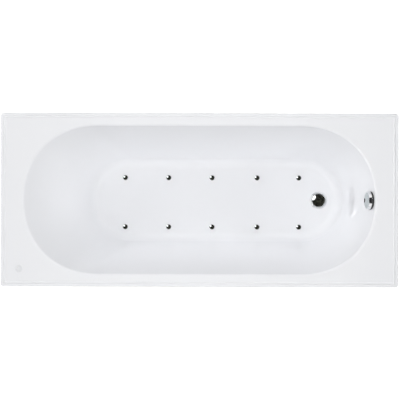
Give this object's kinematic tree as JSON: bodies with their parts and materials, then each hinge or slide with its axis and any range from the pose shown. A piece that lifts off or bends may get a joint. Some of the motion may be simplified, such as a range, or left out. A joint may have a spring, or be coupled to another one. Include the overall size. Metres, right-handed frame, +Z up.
{
  "type": "jetted bathtub",
  "caption": "Rectangular built-in bath with a rounded basin, floor air jets, rotary overflow with pop-up waste, air blower and steel frame on levelling feet.",
  "frame": {"origin": "on the floor, under the middle of the tub's outline", "axes": "+X along the tub towards the drain end, +Y towards the rear long side, +Z up"},
  "size_m": [1.6, 0.7, 0.5735],
  "materials": {
    "acrylic": "gloss white cast acrylic",
    "chipboard": "raw chipboard",
    "frame_paint": "grey powder coat, satin",
    "zinc": "zinc-plated steel",
    "chrome": "polished chrome",
    "motor_metal": "cast aluminium",
    "black_rubber": "black rubber",
    "seal_rubber": "pale silicone",
    "black_plastic": "black moulded plastic",
    "white_plastic": "white moulded plastic",
    "button_plastic": "white moulded plastic, gloss",
    "blue_plastic": "blue-grey moulded plastic",
    "blower_grey": "grey moulded plastic",
    "air_hose": "grey flexible hose",
    "grey_hose": "pale grey ribbed hose",
    "clear_hose": "milky flexible tube"
  },
  "bodies": {
    "frame_and_shell": {"bath_shell": "acrylic", "base_board": "chipboard", "rail_front": "frame_paint", "rail_rear": "frame_paint", "cross_tube_head": "frame_paint", "cross_tube_middle": "frame_paint", "cross_tube_foot": "frame_paint", "corner_posts": "frame_paint", "rim_pads": "black_rubber", "frame_bolts": "zinc", "board_screws": "zinc", "tube_end_caps": "black_plastic", "foot_lock_nuts": "zinc", "jet_caps": "chrome", "jet_bodies": "white_plastic", "jet_nuts": "white_plastic", "jet_gaskets": "seal_rubber", "jet_hoses_front": "clear_hose", "jet_hoses_rear": "clear_hose", "air_manifold": "white_plastic", "feed_hose": "air_hose", "check_valve": "blue_plastic", "riser_hose": "air_hose", "hose_clamps": "zinc", "blower_tray": "zinc", "blower_housing": "black_plastic", "blower_motor": "motor_metal", "blower_cover": "blower_grey", "button_bezel": "button_plastic", "button_body": "white_plastic", "button_nut": "white_plastic", "button_spring": "zinc", "control_tube": "clear_hose", "drain_flange": "chrome", "drain_gasket": "black_rubber", "waste_body": "white_plastic", "trap_bowl": "white_plastic", "trap_cap": "white_plastic", "waste_pipe": "white_plastic", "waste_union_nuts": "white_plastic", "overflow_flange": "chrome", "overflow_gaskets": "black_rubber", "overflow_body": "white_plastic", "overflow_hose": "grey_hose", "plug_cable": "black_plastic"},
    "knob": {"overflow_knob": "chrome"},
    "plug": {"drain_plug": "chrome", "plug_seal": "black_rubber"},
    "button": {"button_cap": "button_plastic"},
    "impeller": {"blower_impeller": "white_plastic"},
    "levelling_foot_head_front": {"foot_stud_head_front": "zinc", "foot_pad_head_front": "black_plastic"},
    "levelling_foot_head_rear": {"foot_stud_head_rear": "zinc", "foot_pad_head_rear": "black_plastic"},
    "levelling_foot_foot_front": {"foot_stud_foot_front": "zinc", "foot_pad_foot_front": "black_plastic"},
    "levelling_foot_foot_rear": {"foot_stud_foot_rear": "zinc", "foot_pad_foot_rear": "black_plastic"},
    "levelling_foot_middle": {"foot_stud_middle": "zinc", "foot_pad_middle": "black_plastic"}
  },
  "joints": [
    {"name": "knob_turn", "type": "hinge", "parent": "frame_and_shell", "child": "knob", "pos_m": [0.69225, 0, 0.525], "axis": [-0.9439, 0, 0.3304], "range_deg": [0, 90]},
    {"name": "plug_lift", "type": "slide", "parent": "frame_and_shell", "child": "plug", "axis": [0, 0, 1], "range_m": [0, 0.01]},
    {"name": "button_press", "type": "slide", "parent": "frame_and_shell", "child": "button", "axis": [0, 0, -1], "range_m": [0, 0.0035], "stiffness_N_per_m": 800, "springref_m": -0.002, "deforming": ["button_spring"]},
    {"name": "impeller_spin", "type": "hinge", "parent": "frame_and_shell", "child": "impeller", "pos_m": [-0.655, 0.09, 0.206], "axis": [0, 0, 1], "continuous": true},
    {"name": "level_head_front", "type": "slide", "parent": "frame_and_shell", "child": "levelling_foot_head_front", "axis": [0, 0, -1], "range_m": [0, 0.025]},
    {"name": "level_head_rear", "type": "slide", "parent": "frame_and_shell", "child": "levelling_foot_head_rear", "axis": [0, 0, -1], "range_m": [0, 0.025]},
    {"name": "level_foot_front", "type": "slide", "parent": "frame_and_shell", "child": "levelling_foot_foot_front", "axis": [0, 0, -1], "range_m": [0, 0.025]},
    {"name": "level_foot_rear", "type": "slide", "parent": "frame_and_shell", "child": "levelling_foot_foot_rear", "axis": [0, 0, -1], "range_m": [0, 0.025]},
    {"name": "level_middle", "type": "slide", "parent": "frame_and_shell", "child": "levelling_foot_middle", "axis": [0, 0, -1], "range_m": [0, 0.025]}
  ],
  "couplings": [
    {"joint": "plug_lift", "follows": "knob_turn", "m_per_rad": 0.00636}
  ]
}
